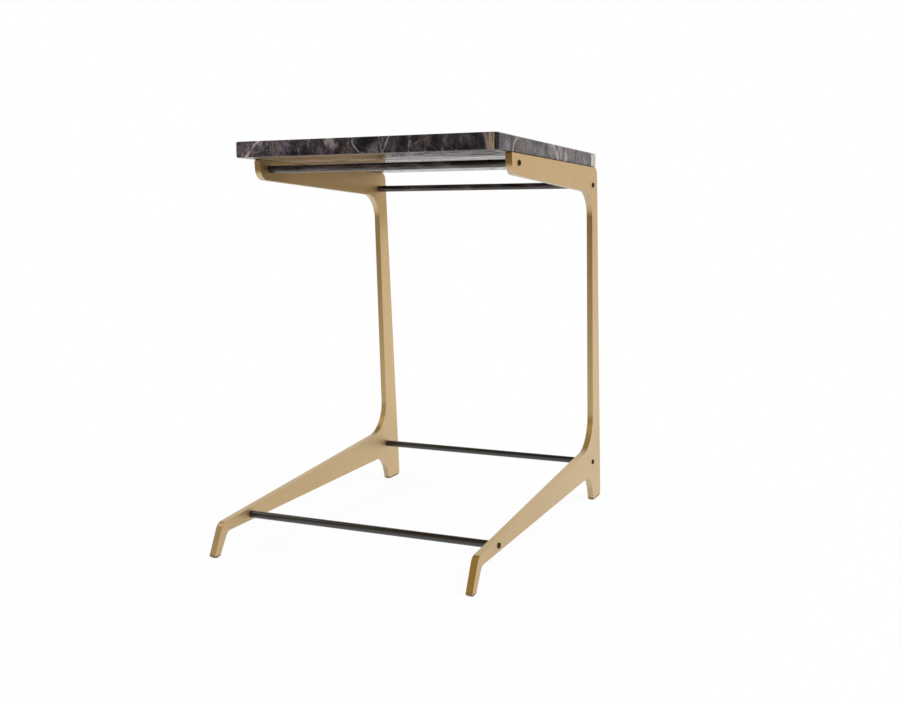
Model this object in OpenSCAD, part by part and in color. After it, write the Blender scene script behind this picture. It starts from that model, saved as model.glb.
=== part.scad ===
// Corner table for the end of a sofa: a stone slab on two C-shaped plate frames,
// held apart by four round rods. Sizes are in millimetres. X runs from left to right,
// Y from front to back and Z up. The origin is on the floor under the middle of the
// table, and its left and right halves mirror each other across X = 0.

/* [Stone top] */
// Height of the table, from the floor to the top of the stone
table_h = 520; // [450:5:650]
// Width of the stone, from left to right
stone_w = 357; // [280:1:480]
// Depth of the stone, from front to back
stone_d = 397; // [370:1:480]
// Thickness of the stone
stone_t = 20; // [12:1:30]
// Radius of the stone's upright corners
stone_corner_r = 7; // [4:0.5:20]
// Width of the polished bevel along the stone's upper and lower edges
stone_bevel = 1.3; // [0.5:0.1:3]
// How far the stone reaches forward of the arms
stone_overhang = 45; // [0:1:80]
// Thickness of the adhesive between the stone and the arms
bond_t = 0.3; // [0.2:0.1:2]

/* [Side frames] */
// Depth of a frame, from the tip of the front foot to the back of the rear foot
frame_depth = 514; // [460:2:600]
// Thickness of the plate
frame_t = 8.5; // [7.5:0.5:12]
// How far the outer face of a plate stands out past the side of the stone
frame_proud = 0.5; // [0.5:0.5:5]
// How far forward the back edge leans, from the floor to the arm
back_lean = 45.5; // [10:0.5:70]

/* [Arms] */
// Length of an arm, from its tip to the back edge
arm_len = 353; // [320:1:420]
// Height of an arm at its tip
arm_tip_h = 25; // [22:0.5:36]
// Height of an arm where it meets the upright
arm_root_h = 36.5; // [34:0.5:60]
// How far the lower corner of an arm's tip lies behind the upper one
arm_tip_lean = 2.5; // [0:0.5:10]
// Radius of the upper corner of an arm's tip, under the stone
arm_tip_top_r = 0.5; // [0.5:0.5:3]
// Radius of the lower corner of an arm's tip
arm_tip_r = 16; // [4:1:16]
// Radius of the top corner at the back
back_top_r = 12; // [4:1:20]
// Radius between arm and upright
arm_fillet_r = 39; // [15:1:60]

/* [Uprights] */
// Width of an upright under the arm
upright_top_w = 26; // [20:0.5:40]
// Width of an upright above the brace
upright_low_w = 37; // [28:0.5:60]
// Radius between upright and brace
knee_r = 47; // [15:1:70]

/* [Braces and feet] */
// Height of the upper edge of a brace above the floor, at the front
brace_top_front = 41; // [36:1:60]
// Height of the upper edge of a brace above the floor, at the upright
brace_top_rear = 86; // [78:1:120]
// Height of the lower edge of a brace above the floor, at the front
brace_under_front = 28.5; // [20:0.5:31]
// Height of the lower edge of a brace above the floor, at the rear foot
brace_under_rear = 41.5; // [36:0.5:50]
// How far the front foot's front edge splays forward
front_foot_splay = 19; // [5:1:30]
// Width of the front foot at the floor
front_foot_w = 12.5; // [11:0.5:20]
// How far the front foot's rear edge splays forward
front_foot_rear_splay = 16; // [5:1:24]
// Width of the rear foot at the floor
rear_foot_w = 38; // [24:1:42]
// Width of the rear foot where it meets the lower edge of the brace
rear_leg_w = 47.5; // [44:0.5:60]
// Radius on top of the front foot
toe_top_r = 12; // [3:1:18]
// Radius under the brace, behind the front foot
toe_under_r = 11; // [3:1:18]
// Radius between the brace and the rear foot
heel_r = 36; // [10:1:38]
// Radius of the rear foot's back corner
heel_back_r = 4; // [1:0.5:8]
// Radius of the other corners of the plate
small_r = 2; // [0.5:0.5:3]

/* [Rods] */
// Diameter of the rods
rod_d = 9.5; // [7:0.5:10]
// How far the top front rod lies behind the tips of the arms
top_front_rod_back = 24; // [14:1:80]
// How far the top front rod lies below the top edges of the arms
top_front_rod_down = 11; // [8:0.5:14]
// How far the top rear rod lies inside the back edges
top_rear_rod_in = 22.5; // [12:0.5:40]
// How far the top rear rod lies below the top edges of the arms
top_rear_rod_down = 25.5; // [16:0.5:30]
// How far the bottom front rod lies behind the tips of the front feet
bottom_front_rod_back = 81.5; // [50:1:140]
// How far the bottom front rod lies above the lower edges of the braces
bottom_front_rod_up = 7.75; // [7:0.25:10]
// How far the bottom rear rod lies inside the back edges
bottom_rear_rod_in = 39.5; // [15:0.5:60]
// How far the bottom rear rod lies above the lower edges of the braces
bottom_rear_rod_up = 19.5; // [12:0.5:30]

/* [Screws] */
// Diameter of the screw's shank
screw_d = 4; // [3:0.5:5]
// Length of the screw under its head
screw_len = 16; // [12:1:30]
// Diameter of the screw's head
screw_head_d = 7; // [6:0.1:9]
// Height of the screw's head
screw_head_h = 4; // [2.5:0.1:5]
// Width across the flats of the socket in the head
screw_socket_w = 3; // [2:0.5:4]
// Depth of the socket in the head
screw_socket_h = 2; // [1:0.1:2.4]
// How far the head stands out of the plate's outer face
screw_proud = 1.5; // [0:0.1:2]
// Gap around the head in its counterbore
head_gap = 0.15; // [0.05:0.05:0.5]
// Gap around the shank in the plate
shank_gap = 0.2; // [0.1:0.05:0.5]
// Gap around the shank in the rod
thread_gap = 0.05; // [0.02:0.01:0.1]
// Depth of the rod's bore beyond the tip of the screw
tip_gap = 2; // [0.5:0.5:5]

/* [Glides] */
// Thickness of the glides under the feet
glide_t = 1; // [0.5:0.5:3]
// How far a glide or a bonding strip lies inside the edges that it joins
pad_inset = 0.5; // [0.2:0.1:1]

/* [Hidden] */
$fn = 96;

stone_colour = "#3d3634";
brass_colour = "#c6ae82";
black_colour = "#1e1e20";
rubber_colour = "#2b2927";

// Widest gap between a rounded corner's arc and its straight steps
chord_gap = 0.03;
// Bevel on the rim of a screw's head
head_bevel = 0.3;
// Overlap that lets a cut pass clean through a face
cut = 1;

// Faces across the table, as distances from its middle
outer_x = stone_w / 2 + frame_proud;
inner_x = outer_x - frame_t;

// Heights
stone_z = table_h - stone_t;
frame_top_z = stone_z - bond_t;
foot_z = glide_t;

// How much shorter rounding makes an outline that ends in a corner of the given angle
function rounding_loss(angle, r) = r * (1 / tan(angle / 2) - 1);

// Places from front to back, first the sharp corners of the feet before they are rounded
toe_angle = atan2(brace_top_front - foot_z, front_foot_splay);
heel_angle = atan2(frame_top_z - foot_z, back_lean);
front_y = -frame_depth / 2 - rounding_loss(toe_angle, small_r);
back_y = frame_depth / 2 + rounding_loss(heel_angle, heel_back_r);
arm_tip_y = back_y - back_lean - arm_len;
stone_front_y = arm_tip_y - stone_overhang;

// Where the leaning back edge is at height z
function back_edge_y(z) = back_y - back_lean * (z - foot_z) / (frame_top_z - foot_z);

// Corners of a side frame as [y, z, radius], from the tip of the arm round by the feet
arm_under_z = frame_top_z - arm_root_h;
frame_corners = [
    [arm_tip_y, frame_top_z, arm_tip_top_r],
    [arm_tip_y + arm_tip_lean, frame_top_z - arm_tip_h, arm_tip_r],
    [back_edge_y(arm_under_z) - upright_top_w, arm_under_z, arm_fillet_r],
    [back_edge_y(brace_top_rear) - upright_low_w, brace_top_rear, knee_r],
    [front_y + front_foot_splay, brace_top_front, toe_top_r],
    [front_y, foot_z, small_r],
    [front_y + front_foot_w, foot_z, small_r],
    [front_y + front_foot_w + front_foot_rear_splay, brace_under_front, toe_under_r],
    [back_edge_y(brace_under_rear) - rear_leg_w, brace_under_rear, heel_r],
    [back_y - rear_foot_w, foot_z, small_r],
    [back_y, foot_z, heel_back_r],
    [back_y - back_lean, frame_top_z, back_top_r]
];

// Height of the brace's lower edge at y
function brace_under_z(y) =
    let (a = frame_corners[7], b = frame_corners[8])
    a[1] + (b[1] - a[1]) * (y - a[0]) / (b[0] - a[0]);

// Rod axes as [y, z]
top_rear_rod_z = frame_top_z - top_rear_rod_down;
bottom_front_rod_y = front_y + bottom_front_rod_back;
bottom_rear_rod_z = brace_under_rear + bottom_rear_rod_up;
top_front_axis = [arm_tip_y + top_front_rod_back, frame_top_z - top_front_rod_down];
top_rear_axis = [back_edge_y(top_rear_rod_z) - top_rear_rod_in, top_rear_rod_z];
bottom_front_axis = [bottom_front_rod_y, brace_under_z(bottom_front_rod_y) + bottom_front_rod_up];
bottom_rear_axis = [back_edge_y(bottom_rear_rod_z) - bottom_rear_rod_in, bottom_rear_rod_z];
rod_axes = [top_front_axis, top_rear_axis, bottom_front_axis, bottom_rear_axis];

// Under the screw's head: the seat's distance from the middle, and the thread's reach into the rod
head_seat_x = outer_x + screw_proud - screw_head_h;
thread_reach = screw_len - (head_seat_x - inner_x);

// Direction from p to q
function towards(p, q) = (q - p) / norm(q - p);

// Half of the angle at corner p between its neighbours a and b
function half_angle(a, p, b) = acos(towards(p, a) * towards(p, b)) / 2;

// Points of the arc of radius r that rounds corner p between its neighbours a and b
function corner_arc(a, p, b, r) =
    let (
        half = half_angle(a, p, b),
        turn = 180 - 2 * half,
        middle = towards(p, a) + towards(p, b),
        centre = p + middle / norm(middle) * r / sin(half),
        start = p + towards(p, a) * r / tan(half) - centre,
        end = p + towards(p, b) * r / tan(half) - centre,
        steps = ceil(turn / (2 * acos(1 - chord_gap / r)))
    )
    [for (k = [0:steps])
        centre + (start * sin(turn * (1 - k / steps)) + end * sin(turn * k / steps)) / sin(turn)];

// The outline through corners given as [x, y, radius]
function rounded_outline(corners) =
    let (n = len(corners), p = [for (c = corners) [c[0], c[1]]])
    [for (i = [0:n - 1]) each corner_arc(p[(i + n - 1) % n], p[i], p[(i + 1) % n], corners[i][2])];

// How much of the edge beside frame corner i its rounding takes
function rounding_length(i) =
    let (n = len(frame_corners), p = [for (c = frame_corners) [c[0], c[1]]])
    frame_corners[i][2] / tan(half_angle(p[(i + n - 1) % n], p[i], p[(i + 1) % n]));

// Corners of an a by b rectangle about the origin, with its corners cut off by c
function cut_rectangle(a, b, c) = [
    [a / 2, b / 2 - c], [a / 2 - c, b / 2], [c - a / 2, b / 2], [-a / 2, b / 2 - c],
    [-a / 2, c - b / 2], [c - a / 2, -b / 2], [a / 2 - c, -b / 2], [a / 2, c - b / 2]
];

// Turns a shape drawn in X and Y upright, so that it faces along the table's X
module across_table() rotate([90, 0, 90]) children();

// The left half's copy of a piece that is drawn on the right
module left_of() mirror([1, 0, 0]) children();

// A round corner of the stone slab about its own axis, with the slab's bevels
module stone_corner() {
    r = stone_corner_r;
    b = stone_bevel;
    h = stone_t / 2;
    rotate_extrude() polygon([[0, -h], [r - b, -h], [r, b - h], [r, h - b], [r - b, h], [0, h]]);
}

// The stone slab: two bevelled bars that cross, and a round corner at each end of them
module stone_top() {
    corner_x = stone_w / 2 - stone_corner_r;
    corner_y = stone_d / 2 - stone_corner_r;
    color(stone_colour)
    translate([0, stone_front_y + stone_d / 2, stone_z + stone_t / 2])
    union() {
        translate([-corner_x, 0, 0]) across_table()
        linear_extrude(2 * corner_x) polygon(cut_rectangle(stone_d, stone_t, stone_bevel));
        translate([0, corner_y, 0]) rotate([90, 0, 0])
        linear_extrude(2 * corner_y) polygon(cut_rectangle(stone_w, stone_t, stone_bevel));
        for (x = [-corner_x, corner_x], y = [-corner_y, corner_y])
            translate([x, y, 0]) stone_corner();
    }
}

// A side frame on the right, with a counterbored hole for the screw of each rod
module side_frame() {
    color(brass_colour)
    difference() {
        translate([inner_x, 0, 0]) across_table()
        linear_extrude(frame_t) polygon(rounded_outline(frame_corners));
        for (axis = rod_axes) {
            translate([inner_x - cut, axis[0], axis[1]]) rotate([0, 90, 0])
            cylinder(d = screw_d + 2 * shank_gap, h = frame_t + 2 * cut);
            translate([head_seat_x, axis[0], axis[1]]) rotate([0, 90, 0])
            cylinder(d = screw_head_d + 2 * head_gap, h = outer_x - head_seat_x + cut);
        }
    }
}

module right_side_frame() side_frame();
module left_side_frame() left_of() side_frame();

// A rod between the inner faces of the plates, with a threaded bore in each end
module rod(axis) {
    bore_h = thread_reach + tip_gap;
    color(black_colour)
    translate([0, axis[0], axis[1]])
    difference() {
        rotate([0, 90, 0]) cylinder(d = rod_d, h = 2 * inner_x, center = true);
        for (side = [-1, 1])
            translate([side * (inner_x + (cut - bore_h) / 2), 0, 0]) rotate([0, 90, 0])
            cylinder(d = screw_d + 2 * thread_gap, h = bore_h + cut, center = true);
    }
}

module top_front_rod() rod(top_front_axis);
module top_rear_rod() rod(top_rear_axis);
module bottom_front_rod() rod(bottom_front_axis);
module bottom_rear_rod() rod(bottom_rear_axis);

// A socket head screw along Z, its head's seat at the origin and its head upwards
module screw() {
    head_r = screw_head_d / 2;
    difference() {
        rotate_extrude()
        polygon([
            [0, -screw_len], [screw_d / 2, -screw_len], [screw_d / 2, 0], [head_r, 0],
            [head_r, screw_head_h - head_bevel], [head_r - head_bevel, screw_head_h], [0, screw_head_h]
        ]);
        translate([0, 0, screw_head_h - screw_socket_h])
        cylinder(d = screw_socket_w / cos(30), h = screw_socket_h + cut, $fn = 6);
    }
}

// The four screws of the right frame
module rod_screws() {
    color(black_colour)
    for (axis = rod_axes)
        translate([head_seat_x, axis[0], axis[1]]) rotate([0, 90, 0]) screw();
}

module right_rod_screws() rod_screws();
module left_rod_screws() left_of() rod_screws();

// The adhesive on the right arm, where the stone covers its top edge
module bonding_strip() {
    front = arm_tip_y + rounding_length(0) + pad_inset;
    arm_end = back_y - back_lean - rounding_length(11);
    back = min(arm_end, stone_front_y + stone_d - stone_bevel) - pad_inset;
    width = stone_w / 2 - stone_bevel - inner_x - pad_inset;
    color(rubber_colour)
    translate([inner_x + pad_inset, front, frame_top_z])
    cube([width, back - front, bond_t]);
}

module right_bonding_strip() bonding_strip();
module left_bonding_strip() left_of() bonding_strip();

// A glide under a right foot, whose flat underside runs from y = front to y = back
module glide(front, back) {
    low = [inner_x + pad_inset, front + pad_inset];
    high = [outer_x - pad_inset, back - pad_inset];
    color(rubber_colour)
    linear_extrude(glide_t)
    polygon(rounded_outline([
        [low[0], low[1], small_r], [high[0], low[1], small_r],
        [high[0], high[1], small_r], [low[0], high[1], small_r]
    ]));
}

module front_glide()
    glide(front_y + rounding_length(5), front_y + front_foot_w - rounding_length(6));

module rear_glide()
    glide(back_y - rear_foot_w + rounding_length(9), back_y - rounding_length(10));

module right_front_glide() front_glide();
module right_rear_glide() rear_glide();
module left_front_glide() left_of() front_glide();
module left_rear_glide() left_of() rear_glide();

stone_top();
left_side_frame();
right_side_frame();
top_front_rod();
top_rear_rod();
bottom_front_rod();
bottom_rear_rod();
left_rod_screws();
right_rod_screws();
left_bonding_strip();
right_bonding_strip();
left_front_glide();
left_rear_glide();
right_front_glide();
right_rear_glide();
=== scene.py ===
"""Corner table: finishes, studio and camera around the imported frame.

A dark veined stone slab rests on two C-shaped brass plates, which four black rods hold apart.
Every length is in metres, in the frame's own axes: X to the right, Y to the back and Z up.
"""

import logging
import math
from dataclasses import dataclass, field
from enum import Enum

import bpy
from mathutils import Euler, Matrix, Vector


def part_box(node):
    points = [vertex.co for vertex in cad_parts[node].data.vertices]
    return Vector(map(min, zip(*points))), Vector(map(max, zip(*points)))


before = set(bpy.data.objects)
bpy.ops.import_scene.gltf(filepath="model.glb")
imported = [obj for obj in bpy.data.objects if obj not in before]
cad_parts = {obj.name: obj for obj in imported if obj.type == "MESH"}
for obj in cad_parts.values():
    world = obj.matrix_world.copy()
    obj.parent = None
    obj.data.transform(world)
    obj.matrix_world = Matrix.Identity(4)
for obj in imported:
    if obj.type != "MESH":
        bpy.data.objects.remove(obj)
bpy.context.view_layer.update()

LOG = logging.getLogger("corner_table")

Triple = tuple[float, float, float]
Colour = Triple
Socket = bpy.types.NodeSocket

WHITE: Colour = (1.0, 1.0, 1.0)
PALE: Colour = (0.31, 0.27, 0.27)
LILAC: Colour = (0.19, 0.155, 0.18)
RUSSET: Colour = (0.125, 0.088, 0.085)

# How sharp edges are softened
WELD_DISTANCE = 0.000002
FLAT_ANGLE = math.radians(0.3)
SHARP_ANGLE = math.radians(28.0)
EDGE_STEPS = 3
NORMAL_WEIGHT = 60


class Side(Enum):
    """The two sides of the table."""

    LEFT = "left"
    RIGHT = "right"


class Face(Enum):
    """The faces of the slab that its marks are placed on."""

    FRONT = "front"
    SIDE = "side"


class Axis(Enum):
    """The parts of a vector, by the names of their sockets."""

    X = "X"
    Y = "Y"
    Z = "Z"


class Ray(Enum):
    """The kinds of ray that the studio tells apart, by the names of their sockets."""

    CAMERA = "Is Camera Ray"
    GLOSSY = "Is Glossy Ray"
    TRANSMISSION = "Is Transmission Ray"


@dataclass(frozen=True)
class Ramp:
    """A smooth change of a value: start where it is low or less, and end where it is high or more."""

    low: float
    high: float
    start: float = 0.0
    end: float = 1.0


@dataclass(frozen=True)
class Push:
    """A push of places by noise: features per metre, reach in metres and number of finer octaves."""

    scale: float
    reach: float
    detail: float = 3.0


@dataclass(frozen=True)
class Relief:
    """A relief: what a height of 1 is, in metres, and the share of it that shows."""

    depth: float
    strength: float = 1.0


@dataclass(frozen=True)
class Noise:
    """A noise, from 0 to 1 about a mean of a half, or what its ramp makes of it.

    It has "scale" features per metre and "detail" finer octaves, of the strength "roughness".
    "distortion" warps it. It is looked up at a place that is pushed, or else stretched and turned.
    """

    scale: float
    detail: float = 4.0
    roughness: float = 0.5
    distortion: float = 0.0
    stretch: Triple | None = None
    turn: Triple = (0.0, 0.0, 0.0)
    push: Push | None = None
    ramp: Ramp | None = None


class Nodes:
    """A node tree, with short methods for the nodes that the finishes and the studio share."""

    def __init__(self, owner: bpy.types.ID) -> None:
        """Starts with an empty tree.

        Args:
            owner: The material or world that the tree belongs to.
        """
        owner.use_nodes = True
        self.tree = owner.node_tree
        self.tree.nodes.clear()
        self.coordinates = self.node("ShaderNodeTexCoord")

    def node(self, kind: str, **settings: object) -> bpy.types.Node:
        """Adds a node.

        Args:
            kind: The node's Blender type.
            settings: Attributes of the node.

        Returns:
            The new node.
        """
        made = self.tree.nodes.new(kind)
        for key, value in settings.items():
            setattr(made, key, value)
        return made

    def feed(self, socket: Socket, value: object) -> None:
        """Links a socket to a value's socket, or sets it to a plain value.

        Args:
            socket: The input to fill.
            value: Another node's output, a number, a colour or a vector, or None to leave it.
        """
        if isinstance(value, bpy.types.NodeSocket):
            self.tree.links.new(value, socket)
        elif value is not None:
            socket.default_value = (*value, 1.0) if socket.type == "RGBA" else value

    def fill(self, node: bpy.types.Node, **values: object) -> bpy.types.Node:
        """Fills a node's inputs.

        Args:
            node: The node.
            values: What each input gets, by the input's name, with _ for a space.

        Returns:
            The node.
        """
        for name, value in values.items():
            self.feed(node.inputs[name.replace("_", " ")], value)
        return node

    def part(self, vector: Socket, axis: Axis) -> Socket:
        """Gives one part of a vector.

        Args:
            vector: The vector.
            axis: The part.

        Returns:
            The part's value.
        """
        return self.fill(self.node("ShaderNodeSeparateXYZ"), Vector=vector).outputs[axis.value]

    def maths(self, operation: str, a: object, b: object = None) -> Socket:
        """Does arithmetic on one or two values.

        Args:
            operation: The name of Blender's maths operation.
            a: The first value.
            b: The second value, if there is one.

        Returns:
            The result.
        """
        node = self.node("ShaderNodeMath", operation=operation)
        self.feed(node.inputs[0], a)
        self.feed(node.inputs[1], b)
        return node.outputs[0]

    def product(self, first: Socket, *others: Socket) -> Socket:
        """Multiplies several values."""
        for other in others:
            first = self.maths("MULTIPLY", first, other)
        return first

    def most(self, first: Socket, *others: Socket) -> Socket:
        """Gives the largest of several values."""
        for other in others:
            first = self.maths("MAXIMUM", first, other)
        return first

    def vector_maths(self, operation: str, a: object, b: object = None) -> Socket:
        """Does arithmetic on vectors.

        Args:
            operation: The name of Blender's vector operation.
            a: The first vector.
            b: The second vector, if there is one.

        Returns:
            The result: a number for a length or a distance, and otherwise a vector.
        """
        node = self.node("ShaderNodeVectorMath", operation=operation)
        self.feed(node.inputs[0], a)
        self.feed(node.inputs[1], b)
        return node.outputs["Value" if operation in ("LENGTH", "DISTANCE") else "Vector"]

    def ramp(self, value: Socket, ramp: Ramp) -> Socket:
        """Sends a value through a ramp.

        Args:
            value: The value.
            ramp: The ramp.

        Returns:
            The ramped value.
        """
        node = self.node("ShaderNodeMapRange", interpolation_type="SMOOTHSTEP")
        self.fill(node, Value=value, From_Min=ramp.low, From_Max=ramp.high)
        self.fill(node, To_Min=ramp.start, To_Max=ramp.end)
        return node.outputs["Result"]

    def mix(self, share: Socket, a: object, b: object) -> Socket:
        """Mixes two colours or two places.

        Args:
            share: How much of the second one shows, from 0 to 1.
            a: The first one.
            b: The second one.

        Returns:
            The mixture.
        """
        node = self.node("ShaderNodeMix", data_type="RGBA")
        self.feed(node.inputs[0], share)
        self.feed(node.inputs[6], a)
        self.feed(node.inputs[7], b)
        return node.outputs[2]

    def rays(self, *kinds: Ray) -> Socket:
        """Is 1 for rays of the given kinds, and 0 for all others."""
        path = self.node("ShaderNodeLightPath")
        return self.most(*(path.outputs[kind.value] for kind in kinds))

    def plain(self, kind: str, colour: object) -> Socket:
        """Adds a shader of one colour.

        Args:
            kind: The shader's Blender type.
            colour: Its colour.

        Returns:
            The shader.
        """
        return self.fill(self.node(kind), Color=colour).outputs[0]

    def blend(self, share: Socket, first: Socket, second: Socket) -> Socket:
        """Mixes two shaders.

        Args:
            share: How much of the second one shows, from 0 to 1.
            first: The first shader.
            second: The second shader.

        Returns:
            The mixed shader.
        """
        node = self.node("ShaderNodeMixShader")
        for socket, value in zip(node.inputs, (share, first, second)):
            self.feed(socket, value)
        return node.outputs[0]

    def end(self, kind: str, shader: Socket) -> None:
        """Ends the tree.

        Args:
            kind: The output's Blender type.
            shader: What it shows.
        """
        self.fill(self.node(kind), Surface=shader)


class Shader(Nodes):
    """A material's node tree."""

    def __init__(self, name: str) -> None:
        """Starts an empty material.

        Args:
            name: The material's name.
        """
        self.material = bpy.data.materials.new(name)
        super().__init__(self.material)

    def place(self) -> Socket:
        """Gives the point's place in the table's frame, in metres."""
        return self.coordinates.outputs["Object"]

    def pushed(self, push: Push) -> Socket:
        """Gives the point's place, pushed about by coloured noise.

        Args:
            push: The push.

        Returns:
            The pushed place.
        """
        node = self.node("ShaderNodeTexNoise")
        self.fill(node, Vector=self.place(), Scale=push.scale, Detail=push.detail)
        centred = self.vector_maths("SUBTRACT", node.outputs["Color"], (0.5, 0.5, 0.5))
        scaled = self.node("ShaderNodeVectorMath", operation="SCALE")
        self.feed(scaled.inputs[0], centred)
        self.fill(scaled, Scale=2.0 * push.reach)
        return self.vector_maths("ADD", self.place(), scaled.outputs["Vector"])

    def stretched(self, scale: Triple, turn: Triple) -> Socket:
        """Gives the point's place, scaled and turned, so that a texture comes out stretched.

        Args:
            scale: Factors along X, Y and Z.
            turn: Angles about X, Y and Z, in radians.

        Returns:
            The changed place.
        """
        node = self.fill(self.node("ShaderNodeMapping"), Vector=self.place(), Scale=scale, Rotation=turn)
        return node.outputs["Vector"]

    def along(self, axis: Axis, ramp: Ramp) -> Socket:
        """Ramps along an axis of the table's frame.

        Args:
            axis: The axis.
            ramp: The ramp, in metres.

        Returns:
            The ramped value.
        """
        return self.ramp(self.part(self.place(), axis), ramp)

    def normal(self, axis: Axis) -> Socket:
        """Gives one part of the surface's own normal."""
        return self.part(self.node("ShaderNodeNewGeometry").outputs["True Normal"], axis)

    def noise(self, look: Noise) -> Socket:
        """Adds noise.

        Args:
            look: What it looks like.

        Returns:
            The noise, or the ramped noise where it has a ramp.
        """
        place = self.place()
        if look.push:
            place = self.pushed(look.push)
        elif look.stretch:
            place = self.stretched(look.stretch, look.turn)
        node = self.fill(
            self.node("ShaderNodeTexNoise"),
            Vector=place,
            Scale=look.scale,
            Detail=look.detail,
            Roughness=look.roughness,
            Distortion=look.distortion,
        )
        value = node.outputs["Fac"]
        return self.ramp(value, look.ramp) if look.ramp else value

    def bump(self, height: Socket, relief: Relief, under: Socket | None = None) -> Socket:
        """Turns a height into a change of the surface's normal.

        Args:
            height: The height, from 0 to 1.
            relief: How deep it is.
            under: Another relief's normal to build on.

        Returns:
            The changed normal.
        """
        node = self.node("ShaderNodeBump")
        self.fill(node, Strength=relief.strength, Distance=relief.depth, Height=height, Normal=under)
        return node.outputs["Normal"]

    def surface(self, **values: object) -> bpy.types.Material:
        """Ends the material with one surface shader.

        Args:
            values: What each of the shader's inputs gets, by its name, with _ for a space.

        Returns:
            The finished material.
        """
        shader = self.fill(self.node("ShaderNodeBsdfPrincipled"), **values)
        self.end("ShaderNodeOutputMaterial", shader.outputs["BSDF"])
        return self.material


@dataclass(frozen=True)
class SatinBrass:
    """Lacquered satin brass: a fine brushed grain along the sheet, and sawn edges. Its tones change by
    place and facing as painted light, shade and reflection.
    """

    name: str = "satin_brass"

    # Tones of the flat faces, from the arms down to the feet. Apart from the random warm tone, their
    # differences are painted light and shade: painted shade on the arms' inner faces under the slab and
    # at their noses, paler lit uprights and feet, darker fronts low down, and painted shade by the
    # floor.
    tone: Colour = (0.607, 0.418, 0.186)
    warm_tone: Colour = (0.587, 0.398, 0.170)
    shaded_tone: Colour = (0.500, 0.332, 0.141)
    nose_shade_tone: Colour = (0.385, 0.270, 0.115)
    upright_tone: Colour = (0.677, 0.495, 0.262)
    low_tone: Colour = (0.625, 0.465, 0.254)
    low_front_tone: Colour = (0.580, 0.423, 0.224)
    floor_shade_tone: Colour = (0.20, 0.14, 0.065)

    # Tones of the edges, from the arms down to the feet. They are painted reflections and highlights
    # that change with how an edge faces, its height and its plate: paler on upward and downward edges, a
    # bright painted highlight on the knees, and brighter toes on the right plate.
    edge_tone: Colour = (0.510, 0.372, 0.185)
    under_tone: Colour = (0.55, 0.44, 0.290)
    knee_tone: Colour = (0.450, 0.295, 0.100)
    knee_highlight: Colour = (0.950, 0.700, 0.235)
    heel_tone: Colour = (0.432, 0.320, 0.176)
    brace_edge_tone: Colour = (0.575, 0.418, 0.192)
    pale_edge_tone: Colour = (0.610, 0.460, 0.235)
    toe_tone: Colour = (0.690, 0.520, 0.130)
    low_edge_tone: Colour = (0.540, 0.360, 0.105)

    # Heights at which one tone gives way to another
    arm_start: Ramp = Ramp(0.39, 0.44)
    upright_end: Ramp = Ramp(0.30, 0.50)
    foot_end: Ramp = Ramp(0.06, 0.16)
    knee_start: Ramp = Ramp(0.082, 0.094)
    knee_middle: Ramp = Ramp(0.105, 0.123)
    knee_end: Ramp = Ramp(0.129, 0.136, 1.0, 0.0)
    toe_start: Ramp = Ramp(0.031, 0.041)
    # Heights of the painted shade that darkens the last millimetres above the floor, on edges and faces
    edge_floor_shade: Ramp = Ramp(0.0020, 0.0055)
    floor_shade_height: Ramp = Ramp(0.0015, 0.0035)

    # The same, from the front to the back
    nose_end: Ramp = Ramp(-0.110, -0.050)
    low_front_end: Ramp = Ramp(-0.10, 0.20)
    heel_start: Ramp = Ramp(0.12, 0.19)

    # The same, from the left plate to the right one, whose edges get different painted reflections
    right_plate: Ramp = Ramp(-0.10, 0.10)
    knee_share: Ramp = Ramp(-0.10, 0.10, 0.30, 1.0)

    # Ways that a surface faces, by a part of its normal
    flat_face: Ramp = Ramp(0.55, 0.85)
    upper_edge: Ramp = Ramp(0.88, 0.97)
    under_edge_end: Ramp = Ramp(-0.75, -0.25)

    # The plates' inner faces, by the X of the normal times the X of the place, where painted shade from
    # the slab falls on the arms
    inner_face: Ramp = Ramp(-0.15, -0.10, 1.0, 0.0)

    # Gloss and grain
    roughness: float = 0.54
    edge_roughness: float = 0.40
    coat: float = 0.25
    coat_roughness: float = 0.3
    cloud: Noise = Noise(16.0, 5.0, 0.55, ramp=Ramp(0.3, 0.7))
    haze: Noise = Noise(34.0, 4.0, 0.6, ramp=Ramp(0.25, 0.75, -0.02, 0.02))
    grain: Noise = Noise(900.0, 3.0, 0.55, stretch=(1.0, 0.035, 1.0), turn=(math.radians(6.0), 0.0, 0.0))
    grain_haze: Ramp = Ramp(0.3, 0.7, -0.015, 0.015)
    grain_relief: Relief = Relief(0.000006, 0.5)

    def sheet(self, s: Shader) -> Socket:
        """Colours the flat faces, with painted light by height and front, and painted shade on the arms'
        inner faces.

        Args:
            s: The material's nodes.

        Returns:
            The colour.
        """
        arm = s.mix(s.noise(self.cloud), self.tone, self.warm_tone)
        # Painted light: paler uprights and feet, darker towards the front low down
        low = s.mix(s.along(Axis.Y, self.low_front_end), self.low_front_tone, self.low_tone)
        low = s.mix(s.along(Axis.Z, self.foot_end), low, self.upright_tone)
        sheet = s.mix(s.along(Axis.Z, self.upright_end), low, arm)
        across = s.part(s.place(), Axis.X)
        # Painted shade on the arms' inner faces under the slab, darkest at their noses
        inner = s.ramp(s.product(s.normal(Axis.X), across), self.inner_face)
        shaded = s.mix(s.along(Axis.Y, self.nose_end), self.nose_shade_tone, self.shaded_tone)
        return s.mix(s.product(inner, s.along(Axis.Z, self.arm_start)), sheet, shaded)

    def edges(self, s: Shader) -> Socket:
        """Colours the edges with painted reflections and highlights, by facing, height, front and plate.

        Args:
            s: The material's nodes.

        Returns:
            The colour.
        """
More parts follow.
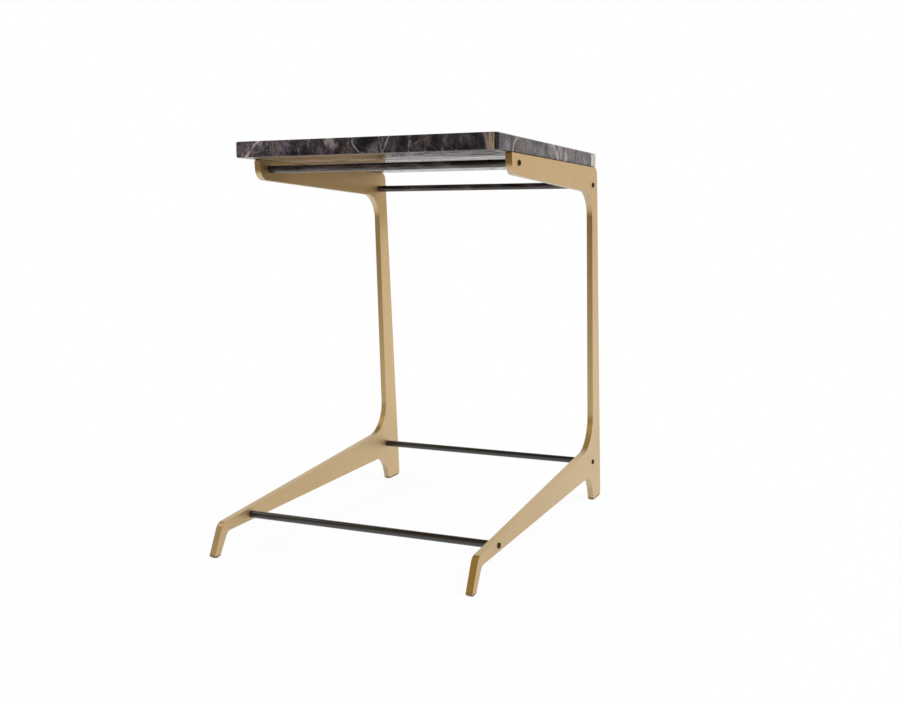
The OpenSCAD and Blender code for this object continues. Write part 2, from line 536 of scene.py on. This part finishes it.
        # Painted reflections: each edge's tone follows how it faces, its height and its plate
        toe = s.mix(s.along(Axis.Z, self.toe_start), self.low_edge_tone, self.toe_tone)
        edge = s.mix(s.along(Axis.X, self.right_plate), self.pale_edge_tone, toe)
        edge = s.mix(s.ramp(s.normal(Axis.Z), self.upper_edge), edge, self.brace_edge_tone)
        edge = s.mix(s.along(Axis.Y, self.heel_start), edge, self.heel_tone)
        edge = s.mix(s.along(Axis.Z, self.foot_end), edge, self.edge_tone)
        knee = s.mix(s.along(Axis.Z, self.knee_middle), self.knee_highlight, self.knee_tone)
        share = s.product(
            s.along(Axis.Z, self.knee_start),
            s.along(Axis.Z, self.knee_end),
            s.along(Axis.X, self.knee_share),
        )
        edge = s.mix(share, edge, knee)
        edge = s.mix(s.ramp(s.normal(Axis.Z), self.under_edge_end), self.under_tone, edge)
        # Painted shade on the edges by the floor
        return s.mix(s.along(Axis.Z, self.edge_floor_shade), self.floor_shade_tone, edge)

    def build(self) -> bpy.types.Material:
        """Makes the material."""
        s = Shader(self.name)
        grain = s.noise(self.grain)
        flat = s.ramp(s.maths("ABSOLUTE", s.normal(Axis.X)), self.flat_face)
        colour = s.mix(flat, self.edges(s), self.sheet(s))
        rough = s.ramp(flat, Ramp(0.0, 1.0, self.edge_roughness, self.roughness))
        rough = s.maths("ADD", rough, s.noise(self.haze))
        return s.surface(
            # Painted shade on the faces by the floor
            Base_Color=s.mix(s.along(Axis.Z, self.floor_shade_height), self.floor_shade_tone, colour),
            Metallic=1.0,
            Roughness=s.maths("ADD", rough, s.ramp(grain, self.grain_haze)),
            Coat_Weight=self.coat,
            Coat_Roughness=self.coat_roughness,
            Normal=s.bump(grain, self.grain_relief),
        )


@dataclass(frozen=True)
class Vein:
    """A bent sheet of light mineral that the slab was cut through.

    It crosses a face at "across", half way up the slab. There its upper end leans "lean" degrees
    to the right, and it curves about a centre that lies "bend" metres to the right. It shows
    within "reach" metres of that place.
    """

    face: Face
    across: float
    lean: float
    bend: float
    width: float
    strength: float = 1.0
    reach: float = 0.10

    def anchor(self, low: Vector, high: Vector) -> Vector:
        """Finds the place on the face that the vein crosses.

        Args:
            low: The slab's lowest corner.
            high: The slab's highest corner.

        Returns:
            The place, half way up the slab.
        """
        middle = (low.z + high.z) / 2.0
        if self.face is Face.FRONT:
            return Vector((self.across, low.y, middle))
        return Vector((high.x, self.across, middle))

    def centre(self, low: Vector, high: Vector) -> Vector:
        """Finds the centre that the sheet curves about.

        Args:
            low: The slab's lowest corner.
            high: The slab's highest corner.

        Returns:
            The centre.
        """
        lean = math.radians(self.lean)
        right = self.bend * math.cos(lean)
        up = -self.bend * math.sin(lean)
        away = Vector((right, 0.0, up)) if self.face is Face.FRONT else Vector((0.0, right, up))
        return self.anchor(low, high) + away


@dataclass(frozen=True)
class Patch:
    """A cloud of another stone, about a place along a face and a height from its lower edge."""

    face: Face
    across: float
    height: float
    radius: float
    tone: Colour
    strength: float = 1.0

    def centre(self, low: Vector, high: Vector) -> Vector:
        """Finds the middle of the cloud.

        Args:
            low: The slab's lowest corner.
            high: The slab's highest corner.

        Returns:
            The middle.
        """
        if self.face is Face.FRONT:
            return Vector((self.across, low.y, low.z + self.height))
        return Vector((high.x, self.across, low.z + self.height))


@dataclass(frozen=True)
class Web:
    """A web of thin lines, as between the pieces of a broken slab.

    It has "scale" pieces to the metre, and its lines are as wide as "width" of a piece. "shows"
    is the noise that says where it shows.
    """

    scale: float
    width: float
    push: Push
    shows: Noise


@dataclass(frozen=True)
class DarkMarble:
    """Dark marble: near-black ground, violet and brown clouds, speckled patches, light veins."""

    name: str = "dark_marble"

    # Tones
    deep: Colour = (0.0100, 0.0095, 0.0115)
    violet: Colour = (0.195, 0.162, 0.192)
    brown: Colour = (0.225, 0.160, 0.155)
    pale: Colour = PALE
    vein: Colour = (0.40, 0.345, 0.33)
    end_tone: Colour = (0.56, 0.49, 0.42)
    belly_tone: Colour = (0.36, 0.30, 0.265)

    # Polish, on the sides and on the underside
    roughness: float = 0.15
    belly_roughness: float = 0.08
    index: float = 1.20
    polish: Noise = Noise(60.0, 5.0, 0.65, ramp=Ramp(0.3, 0.7, -0.05, 0.07))
    swell: Noise = Noise(20.0, 2.0, stretch=(0.4, 1.0, 1.0))
    swell_relief: Relief = Relief(0.00035)
    wave: Noise = Noise(70.0, 3.0)
    wave_relief: Relief = Relief(0.00007)
    line_relief: Relief = Relief(0.00003, 0.4)

    # Fine grain, and how much of it shows in each kind of stone
    grain: Noise = Noise(330.0, 5.0, 0.7, stretch=(1.0, 1.0, 0.6))
    cloud_grain: Ramp = Ramp(0.32, 0.66, 0.15, 1.0)
    loose_grain: Ramp = Ramp(0.4, 0.6)
    patch_grain: Ramp = Ramp(0.36, 0.6, 0.2, 1.0)
    vein_grain: Ramp = Ramp(0.36, 0.62, 0.2, 0.85)
    end_grain: Ramp = Ramp(0.36, 0.56, 0.6, 1.0)
    fibres: Noise = Noise(420.0, 4.0, 0.6, stretch=(1.0, 1.0, 0.15))
    streak_fibres: Ramp = Ramp(0.32, 0.6, 0.35, 1.0)
    end_fibres: Ramp = Ramp(0.35, 0.6, 0.6, 1.0)

    # Clouds, which fade to the right of the front as painted shade, and are striped
    clouds: Noise = Noise(32.0, 7.0, 0.70, 0.6, ramp=Ramp(0.38, 0.66))
    warmth: Noise = Noise(24.0, 3.0, push=Push(20.0, 0.02), ramp=Ramp(0.45, 0.57))
    loose: Noise = Noise(40.0, 8.0, 0.7, 0.8, ramp=Ramp(0.55, 0.72, 0.0, 0.75))
    fade: Ramp = Ramp(-0.17, 0.12, 1.0, 0.30)
    stripes: Noise = Noise(150.0, 4.0, 0.65, stretch=(1.3, 1.0, 0.3))
    front_stripes: Ramp = Ramp(0.4, 0.6, 0.75, 1.1)
    side_stripes: Ramp = Ramp(0.42, 0.58, 0.3, 1.6)

    # Where the right side begins across the slab and along it, and where its pale rear end begins. The
    # side's fuller clouds and bolder stripes are a painted sheen, and the strip before the corner keeps
    # the front's painted shade.
    side_start: Ramp = Ramp(0.1776, 0.1784)
    corner_end: Ramp = Ramp(-0.174, -0.160)
    end_start: Ramp = Ramp(0.1815, 0.1845)

    # The underside, and its pale bands from the front to the back: partly the stone's colour and partly
    # painted reflection, with a painted highlight along the front edge
    downward: Ramp = Ramp(-0.98, -0.90, 1.0, 0.0)
    bands: Noise = Noise(24.0, 5.0, 0.65, 0.8, stretch=(0.35, 1.0, 1.0), ramp=Ramp(0.46, 0.56))
    band_share: Ramp = Ramp(-0.135, -0.085, 0.25, 1.0)
    front_glint: Ramp = Ramp(-0.172, -0.158, 0.6, 0.0)
    rear_share: Ramp = Ramp(0.05, 0.12, 0.0, 0.1)

    # The slab's inside, along it and across it, where veins bend more and a broad web is added
    inside_start: Ramp = Ramp(-0.184, -0.11)
    inside_end: Ramp = Ramp(0.10, 0.176, 1.0, 0.0)
    inside_push: Push = Push(13.0, 0.07)
    vein_push: Push = Push(70.0, 0.003)
    patch_push: Push = Push(90.0, 0.008)
    streak_push: Push = Push(50.0, 0.002)
    vein_gaps: Noise = Noise(95.0, 3.0, ramp=Ramp(0.36, 0.56, 0.3, 1.0))
    wide_web: Web = Web(16.0, 0.014, Push(16.0, 0.03), Noise(19.0, 3.0, ramp=Ramp(0.52, 0.64, 0.0, 0.5)))
    broad_web: Web = Web(7.5, 0.012, Push(9.0, 0.07), Noise(11.0, 3.0, ramp=Ramp(0.42, 0.56, 0.1, 1.0)))
    fine_web: Web = Web(46.0, 0.035, Push(55.0, 0.012), Noise(28.0, 4.0, ramp=Ramp(0.5, 0.64, 0.0, 0.3)))

    # The share of a vein's width, its reach and a patch's radius that has its full strength
    vein_core: float = 0.3
    reach_core: float = 0.7
    patch_core: float = 0.25

    veins: tuple[Vein, ...] = (
        Vein(Face.FRONT, -0.1515, 43.0, -0.20, 0.0026, 1.3),
        Vein(Face.FRONT, -0.085, -20.0, -0.15, 0.0009, 0.4),
        Vein(Face.FRONT, -0.0065, -30.0, 0.0190, 0.0013, 1.0, 0.018),
        Vein(Face.FRONT, -0.014, 2.0, -0.25, 0.0008, 0.5),
        Vein(Face.FRONT, 0.030, -15.0, -0.20, 0.0010, 0.6),
        Vein(Face.FRONT, 0.037, 24.0, -0.25, 0.0010, 0.9),
        Vein(Face.FRONT, 0.068, 3.0, -0.12, 0.0022, 0.75),
        Vein(Face.FRONT, 0.088, 0.0, -0.30, 0.0009, 0.4),
        Vein(Face.FRONT, 0.1135, 16.0, -0.25, 0.0009, 0.4),
        Vein(Face.FRONT, 0.155, -4.0, -0.20, 0.0009, 0.12),
        Vein(Face.SIDE, -0.1325, 38.0, 0.024, 0.0022, 1.2, 0.018),
        Vein(Face.SIDE, -0.060, 4.0, 0.25, 0.0014, 0.4),
        Vein(Face.SIDE, -0.010, 18.0, 0.20, 0.0016, 0.3),
        Vein(Face.SIDE, 0.022, -50.0, 0.10, 0.0028, 1.1, 0.026),
        Vein(Face.SIDE, 0.040, -24.0, 0.10, 0.0026, 0.8, 0.030),
        Vein(Face.SIDE, 0.063, -5.0, 0.20, 0.0030, 1.1),
        Vein(Face.SIDE, 0.099, 0.0, 0.25, 0.0020, 0.8),
        Vein(Face.SIDE, 0.122, 10.0, 0.20, 0.0016, 0.5),
    )
    patches: tuple[Patch, ...] = (
        Patch(Face.FRONT, -0.165, 0.010, 0.020, LILAC, 0.4),
        Patch(Face.FRONT, -0.114, 0.010, 0.014, RUSSET, 0.8),
        Patch(Face.FRONT, -0.039, 0.016, 0.012, (0.30, 0.245, 0.235), 1.0),
        Patch(Face.FRONT, -0.142, 0.019, 0.010, PALE, 0.7),
        Patch(Face.FRONT, -0.052, 0.004, 0.009, RUSSET, 0.8),
        Patch(Face.FRONT, 0.020, 0.003, 0.013, LILAC, 0.7),
        Patch(Face.FRONT, 0.088, 0.014, 0.011, RUSSET, 0.8),
        Patch(Face.FRONT, 0.144, 0.012, 0.009, RUSSET, 0.5),
        Patch(Face.SIDE, -0.095, 0.012, 0.034, RUSSET, 0.9),
        Patch(Face.SIDE, -0.035, 0.004, 0.014, LILAC, 0.6),
        Patch(Face.SIDE, 0.004, 0.013, 0.017, (0.30, 0.24, 0.23), 0.6),
        Patch(Face.SIDE, 0.028, 0.006, 0.012, PALE, 0.55),
        Patch(Face.SIDE, 0.066, 0.006, 0.012, PALE, 0.9),
        Patch(Face.SIDE, 0.085, 0.014, 0.022, RUSSET, 0.9),
    )

    # The streak by the front right corner: a pink fringe, tan stone and a bright rim
    streaks: tuple[tuple[Vein, Colour], ...] = (
        (Vein(Face.FRONT, 0.1650, -14.0, -0.29, 0.0036), (0.21, 0.150, 0.140)),
        (Vein(Face.FRONT, 0.1705, -4.0, -0.29, 0.0046), (0.30, 0.215, 0.140)),
        (Vein(Face.FRONT, 0.1735, 0.0, -0.29, 0.0009), (0.42, 0.33, 0.23)),
    )

    def web(self, s: Shader, web: Web) -> Socket:
        """Marks where a web lies.

        Args:
            s: The material's nodes.
            web: The web.

        Returns:
            The web's strength on a line, and 0 away from it.
        """
        cells = s.node("ShaderNodeTexVoronoi", feature="DISTANCE_TO_EDGE")
        s.fill(cells, Vector=s.pushed(web.push), Scale=web.scale)
        line = s.ramp(cells.outputs["Distance"], Ramp(0.0, web.width, 1.0, 0.0))
        return s.product(line, s.noise(web.shows))

    def sheet(self, s: Shader, vein: Vein, place: Socket) -> Socket:
        """Marks where a vein lies.

        Args:
            s: The material's nodes.
            vein: The vein.
            place: The slightly pushed place that it is looked up at.

        Returns:
            The vein's strength on its sheet, and 0 away from it.
        """
        slab = [Vector(corner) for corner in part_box("stone_top")]
        away = s.maths("SUBTRACT", s.vector_maths("DISTANCE", place, vein.centre(*slab)), abs(vein.bend))
        width = Ramp(vein.width * self.vein_core, vein.width, vein.strength, 0.0)
        reach = Ramp(vein.reach * self.reach_core, vein.reach, 1.0, 0.0)
        along = s.vector_maths("DISTANCE", place, vein.anchor(*slab))
        return s.product(s.ramp(s.maths("ABSOLUTE", away), width), s.ramp(along, reach))

    def cloud(self, s: Shader, patch: Patch, place: Socket) -> Socket:
        """Marks where a patch lies.

        Args:
            s: The material's nodes.
            patch: The patch.
            place: The pushed place that it is looked up at.

        Returns:
            The patch's strength inside it, falling to 0 at its border.
        """
        away = s.vector_maths("DISTANCE", place, patch.centre(*map(Vector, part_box("stone_top"))))
        return s.ramp(away, Ramp(patch.radius * self.patch_core, patch.radius, patch.strength, 0.0))

    def down(self, s: Shader) -> Socket:
        """Marks the underside."""
        return s.ramp(s.normal(Axis.Z), self.downward)

    def lines(self, s: Shader, grain: Socket) -> Socket:
        """Marks the veins and the webs.

        Args:
            s: The material's nodes.
            grain: The stone's fine grain, from 0 to 1.

        Returns:
            How much of the vein's colour shows.
        """
        inside = s.product(s.along(Axis.Y, self.inside_start), s.along(Axis.X, self.inside_end))
        place = s.mix(inside, s.pushed(self.vein_push), s.pushed(self.inside_push))
        bold = s.most(*(self.sheet(s, vein, place) for vein in self.veins))
        broad = s.product(self.web(s, self.broad_web), inside)
        lines = s.most(bold, self.web(s, self.wide_web), broad, self.web(s, self.fine_web))
        return s.product(lines, s.product(s.ramp(grain, self.vein_grain), s.noise(self.vein_gaps)))

    def ground(self, s: Shader, grain: Socket) -> Socket:
        """Colours the stone between its veins, with painted light and shade on the front and the right
        side.

        Args:
            s: The material's nodes.
            grain: The stone's fine grain, from 0 to 1.

        Returns:
            The colour.
        """
        # Painted light and shade: the front's clouds fade darker to the right, and the side keeps them
        # whole with bolder stripes as a painted sheen
        side = s.product(s.along(Axis.X, self.side_start), s.along(Axis.Y, self.corner_end))
        lit_share = s.most(s.along(Axis.X, self.fade), side)
        stripes = s.noise(self.stripes)
        bold = s.product(s.ramp(stripes, self.side_stripes), side)
        faint = s.product(s.ramp(stripes, self.front_stripes), s.maths("SUBTRACT", 1.0, side))
        striped = s.product(lit_share, s.maths("ADD", bold, faint))
        clouds = s.product(s.noise(self.clouds), s.ramp(grain, self.cloud_grain))
        tinted = s.mix(s.noise(self.warmth), self.violet, self.brown)
        colour = s.mix(s.product(clouds, striped), self.deep, tinted)
        loose = s.product(s.noise(self.loose), lit_share, s.ramp(grain, self.loose_grain))
        colour = s.mix(loose, colour, self.pale)
        place = s.pushed(self.patch_push)
        speckle = s.ramp(grain, self.patch_grain)
        for patch in self.patches:
            colour = s.mix(s.product(self.cloud(s, patch, place), speckle), colour, patch.tone)
        return colour

    def belly(self, s: Shader, colour: Socket) -> Socket:
        """Adds the underside's broad pale bands, partly painted reflection, and a painted highlight
        along its front edge.

        Args:
            s: The material's nodes.
            colour: The stone's colour without them.

        Returns:
            The colour with them.
        """
        share = s.most(
            s.product(s.noise(self.bands), s.along(Axis.Y, self.band_share)),
            s.along(Axis.Y, self.front_glint),
            s.along(Axis.Y, self.rear_share),
        )
        return s.mix(s.product(self.down(s), share), colour, self.belly_tone)

    def ends(self, s: Shader, grain: Socket, colour: Socket) -> Socket:
        """Adds the streak by the front right corner, and the right side's pale rear end.

        Args:
            s: The material's nodes.
            grain: The stone's fine grain, from 0 to 1.
            colour: The stone's colour without them.

        Returns:
            The colour with them.
        """
        fibres = s.noise(self.fibres)
        place = s.pushed(self.streak_push)
        strands = s.ramp(fibres, self.streak_fibres)
        for vein, tone in self.streaks:
            colour = s.mix(s.product(self.sheet(s, vein, place), strands), colour, tone)
        mottle = s.product(s.ramp(fibres, self.end_fibres), s.ramp(grain, self.end_grain))
        share = s.product(s.along(Axis.Y, self.end_start), mottle)
        return s.mix(s.product(share, s.along(Axis.X, self.side_start)), colour, self.end_tone)

    def build(self) -> bpy.types.Material:
        """Makes the material."""
        s = Shader(self.name)
        grain = s.noise(self.grain)
        lines = self.lines(s, grain)
        colour = s.mix(lines, self.belly(s, self.ground(s, grain)), self.vein)
        rough = s.ramp(self.down(s), Ramp(0.0, 1.0, self.roughness, self.belly_roughness))
        swell = s.bump(s.noise(self.swell), self.swell_relief)
        waves = s.bump(s.noise(self.wave), self.wave_relief, swell)
        return s.surface(
            Base_Color=self.ends(s, grain, colour),
            Roughness=s.maths("ADD", s.noise(self.polish), rough),
            IOR=self.index,
            Normal=s.bump(lines, self.line_relief, waves),
        )


@dataclass(frozen=True)
class BlackLacquer:
    """Satin black lacquer with a faint orange peel. The upper rods, under the stone, carry a mottled
    painted reflection of the stone.
    """

    name: str = "black_lacquer"
    tone: Colour = (0.0050, 0.0048, 0.0050)
    dusty: Colour = (0.0065, 0.0057, 0.0053)
    # Painted reflection of the stone, on the upper rods
    mirrored: Colour = (0.085, 0.062, 0.062)
    index: float = 1.70
    upper_rods: Ramp = Ramp(0.2, 0.4)
    cloud: Noise = Noise(160.0, 4.0, 0.6, 0.5, stretch=(0.16, 1.0, 1.0))
    cloud_tone: Ramp = Ramp(0.46, 0.66)
    cloud_roughness: Ramp = Ramp(0.3, 0.7, 0.13, 0.22)
    peel: Noise = Noise(700.0, 2.0)
    peel_relief: Relief = Relief(0.00002, 0.6)

    def build(self) -> bpy.types.Material:
        """Makes the material."""
        s = Shader(self.name)
        cloud = s.noise(self.cloud)
        # The upper rods get the painted reflection, the lower ones the dusty tone
        tone = s.mix(s.along(Axis.Z, self.upper_rods), self.dusty, self.mirrored)
        return s.surface(
            Base_Color=s.mix(s.ramp(cloud, self.cloud_tone), self.tone, tone),
            Roughness=s.ramp(cloud, self.cloud_roughness),
            IOR=self.index,
            Normal=s.bump(s.noise(self.peel), self.peel_relief),
        )


@dataclass(frozen=True)
class BlackOxide:
    """Blackened steel, as on socket head screws."""

    name: str = "black_oxide"
    tone: Colour = (0.030, 0.019, 0.008)
    worn: Colour = (0.055, 0.036, 0.016)
    specular: float = 0.08
    wear: Noise = Noise(520.0, 4.0, 0.6)
    wear_tone: Ramp = Ramp(0.5, 0.8)
    wear_roughness: Ramp = Ramp(0.3, 0.7, 0.5, 0.65)
    wear_relief: Relief = Relief(0.00002, 0.5)

    def build(self) -> bpy.types.Material:
        """Makes the material."""
        s = Shader(self.name)
        wear = s.noise(self.wear)
        return s.surface(
            Base_Color=s.mix(s.ramp(wear, self.wear_tone), self.tone, self.worn),
            Roughness=s.ramp(wear, self.wear_roughness),
            Specular_IOR_Level=self.specular,
            Normal=s.bump(wear, self.wear_relief),
        )


@dataclass(frozen=True)
class DarkRubber:
    """Dull dark rubber or silicone."""

    name: str = "dark_rubber"
    tone: Colour = (0.022, 0.019, 0.018)
    light: Colour = (0.036, 0.032, 0.030)
    cloud: Noise = Noise(300.0, 5.0, 0.6)
    cloud_roughness: Ramp = Ramp(0.3, 0.7, 0.6, 0.75)
    cloud_relief: Relief = Relief(0.00003, 0.6)

    def build(self) -> bpy.types.Material:
        """Makes the material."""
        s = Shader(self.name)
        cloud = s.noise(self.cloud)
        return s.surface(
            Base_Color=s.mix(cloud, self.tone, self.light),
            Roughness=s.ramp(cloud, self.cloud_roughness),
            Normal=s.bump(cloud, self.cloud_relief),
        )


def soften(piece: bpy.types.Object, edge: float) -> None:
    """Softens a piece's sharp edges.

    Args:
        piece: The piece.
        edge: Width of the softened edge.
    """
    weld = piece.modifiers.new("join_faces", "WELD")
    weld.merge_threshold = WELD_DISTANCE
    flat = piece.modifiers.new("merge_flat_faces", "DECIMATE")
    flat.decimate_type = "DISSOLVE"
    flat.angle_limit = FLAT_ANGLE
    bevel = piece.modifiers.new("soften_edges", "BEVEL")
    bevel.width = edge
    bevel.segments = EDGE_STEPS
    bevel.limit_method = "ANGLE"
    bevel.angle_limit = SHARP_ANGLE
    bevel.miter_outer = "MITER_ARC"
    normals = piece.modifiers.new("even_normals", "WEIGHTED_NORMAL")
    normals.mode = "FACE_AREA"
    normals.weight = NORMAL_WEIGHT
    normals.keep_sharp = False


def dress(node: str, material: bpy.types.Material, edge: float = 0.0) -> None:
    """Gives a CAD node its material, and softens its sharp edges.

    Args:
        node: The CAD node's name.
        material: Its finish.
        edge: Width of the softened edge, or 0 for none.
    """
    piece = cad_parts[node]
    piece.data.materials.clear()
    piece.data.materials.append(material)
    if edge:
        soften(piece, edge)
    LOG.info("%s: %s, edges softened by %.2f mm", node, material.name, edge * 1000.0)


@dataclass
class StoneTop:
    """The stone slab and the adhesive that holds it."""

    finish: DarkMarble = field(default_factory=DarkMarble)
    adhesive: DarkRubber = field(default_factory=lambda: DarkRubber("dark_silicone"))
    edge: float = 0.0005

    def build(self) -> None:
        """Dresses the slab and the adhesive strips."""
        dress("stone_top", self.finish.build(), self.edge)
        silicone = self.adhesive.build()
        for side in Side:
            dress(f"{side.value}_bonding_strip", silicone)


@dataclass
class SideFrames:
    """The two brass plates and the glides under their feet."""

    finish: SatinBrass = field(default_factory=SatinBrass)
    glide: DarkRubber = field(default_factory=lambda: DarkRubber("dark_glide"))
    edge: float = 0.0008

    def build(self) -> None:
        """Dresses the plates and the glides."""
        brass = self.finish.build()
        rubber = self.glide.build()
        for side in Side:
            dress(f"{side.value}_side_frame", brass, self.edge)
            for end in ("front", "rear"):
                dress(f"{side.value}_{end}_glide", rubber)


@dataclass
class Rods:
    """The four rods and the screws that hold them."""

    finish: BlackLacquer = field(default_factory=BlackLacquer)
    screw_finish: BlackOxide = field(default_factory=BlackOxide)

    def build(self) -> None:
        """Dresses the rods and the screws."""
        black = self.finish.build()
        for height in ("top", "bottom"):
            for end in ("front", "rear"):
                dress(f"{height}_{end}_rod", black)
        oxide = self.screw_finish.build()
        for side in Side:
            dress(f"{side.value}_rod_screws", oxide)


@dataclass(frozen=True)
class Lamp:
    """A square soft lamp: where it hangs, its power in watts and the length of its sides."""

    name: str
    place: Triple
    power: float
    size: float = 1.4

    def build(self, aim: Triple) -> None:
        """Hangs the lamp.

        Args:
            aim: The point that it faces.
        """
        light = bpy.data.lights.new(self.name, "AREA")
        light.shape = "SQUARE"
        light.size = self.size
        light.energy = self.power
        holder = bpy.data.objects.new(self.name, light)
        bpy.context.scene.collection.objects.link(holder)
        holder.location = self.place
        holder.rotation_euler = (Vector(aim) - Vector(self.place)).to_track_quat("-Z", "Y").to_euler()
        LOG.info("%s: %.0f W", self.name, self.power)


@dataclass
class Studio:
    """A plain white studio: floor, soft lamps and pale surroundings."""

    floor_front: float = -0.8
    floor_back: float = 3.2
    floor_half_width: float = 8.0
    floor_tone: Colour = (0.92, 0.92, 0.92)

    # How white the floor looks, by the distance from the table's middle
    whiteness: Ramp = Ramp(0.4, 1.0, 0.93, 1.0)

    # What the surroundings light the table with, and what it mirrors
    soft_tone: Colour = (0.85, 0.85, 0.85)
    sky_tone: Colour = (0.98, 0.98, 0.98)
    low_tone: Colour = (0.10, 0.10, 0.10)
    room_tone: Colour = (0.27, 0.175, 0.080)

    # Where the mirrored tones show, by the rise of a ray and by how far it goes to the back
    below: Ramp = Ramp(-0.078, -0.053, 1.0, 0.0)
    wall: Ramp = Ramp(0.09, 0.17, 1.0, 0.0)
    ceiling: Ramp = Ramp(0.30, 0.38)
    ahead: Ramp = Ramp(0.30, 0.70, 1.0, 0.0)

    aim: Triple = (0.0, 0.0, 0.3)
    lamps: tuple[Lamp, ...] = (
        Lamp("key_lamp", (1.5, 0.4, 1.9), 16.0),
        Lamp("fill_lamp", (-1.7, -0.5, 1.6), 7.0),
    )

    def floor(self) -> None:
        """Lays the pale floor.

        The camera, glass and reflections see it white, apart from the table's soft shadow.
        """
        front, back, side = self.floor_front, self.floor_back, self.floor_half_width
        mesh = bpy.data.meshes.new("studio_floor")
        corners = [(-side, front, 0.0), (side, front, 0.0), (side, back, 0.0), (-side, back, 0.0)]
        mesh.from_pydata(corners, [], [(0, 1, 2, 3)])
        floor = bpy.data.objects.new("studio_floor", mesh)
        bpy.context.scene.collection.objects.link(floor)
        s = Shader("studio_floor")
        seen = s.rays(Ray.CAMERA, Ray.TRANSMISSION, Ray.GLOSSY)
        share = s.product(seen, s.ramp(s.vector_maths("LENGTH", s.place()), self.whiteness))
        matt = s.plain("ShaderNodeBsdfDiffuse", self.floor_tone)
        white = s.plain("ShaderNodeEmission", WHITE)
        s.end("ShaderNodeOutputMaterial", s.blend(share, matt, white))
        floor.data.materials.append(s.material)

    def surroundings(self) -> None:
        """Sets the world.

        The camera and rays through glass see white. Reflections see a pale sky, dark below the
        horizon, and to the front and sides a warm dark room with a pale band across it. The rest
        of the light is soft and even.
        """
        world = bpy.data.worlds.new("studio")
        bpy.context.scene.world = world
        s = Nodes(world)
        direction = s.coordinates.outputs["Generated"]
        rise = s.part(direction, Axis.Z)
        ahead = s.ramp(s.part(direction, Axis.Y), self.ahead)
        room = s.product(ahead, s.most(s.ramp(rise, self.wall), s.ramp(rise, self.ceiling)))
        mirrored = s.mix(s.ramp(rise, self.below), self.sky_tone, self.low_tone)
        mirrored = s.mix(room, mirrored, self.room_tone)
        soft = s.plain("ShaderNodeBackground", self.soft_tone)
        around = s.blend(s.rays(Ray.GLOSSY), soft, s.plain("ShaderNodeBackground", mirrored))
        white = s.plain("ShaderNodeBackground", WHITE)
        seen = s.rays(Ray.CAMERA, Ray.TRANSMISSION)
        s.end("ShaderNodeOutputWorld", s.blend(seen, around, white))

    def build(self) -> None:
        """Builds the floor, the surroundings and the lamps."""
        self.floor()
        self.surroundings()
        LOG.info("studio: floor and surroundings")
        for lamp in self.lamps:
            lamp.build(self.aim)
        bpy.context.scene.view_settings.view_transform = "Standard"


@dataclass(frozen=True)
class PhotoCamera:
    """The camera at the photograph's place and angle, with the focal length that it shows."""

    place: Triple = (0.6266, -1.3257, 0.4094)
    azimuth: float = 23.97
    down: float = 6.49
    focal_pixels: float = 1068.1
    picture_pixels: float = 900.0
    sensor: float = 36.0
    clip_start: float = 0.01

    def build(self) -> None:
        """Sets up the camera."""
        data = bpy.data.cameras.new("photo_camera")
        data.sensor_width = self.sensor
        data.lens = self.sensor * (self.focal_pixels / self.picture_pixels)
        data.clip_start = self.clip_start
        holder = bpy.data.objects.new("photo_camera", data)
        bpy.context.scene.collection.objects.link(holder)
        holder.location = self.place
        holder.rotation_euler = Euler((math.radians(90.0 - self.down), 0.0, math.radians(self.azimuth)))
        bpy.context.scene.camera = holder
        LOG.info("camera: %.1f mm lens, azimuth %.2f degrees", data.lens, self.azimuth)


def main() -> None:
    """Builds the camera, the table's finishes and the studio."""
    logging.basicConfig(level=logging.INFO, format="%(name)s: %(message)s")
    PhotoCamera().build()
    for assembly in (StoneTop(), SideFrames(), Rods(), Studio()):
        assembly.build()


if __name__ == "__main__":
    main()
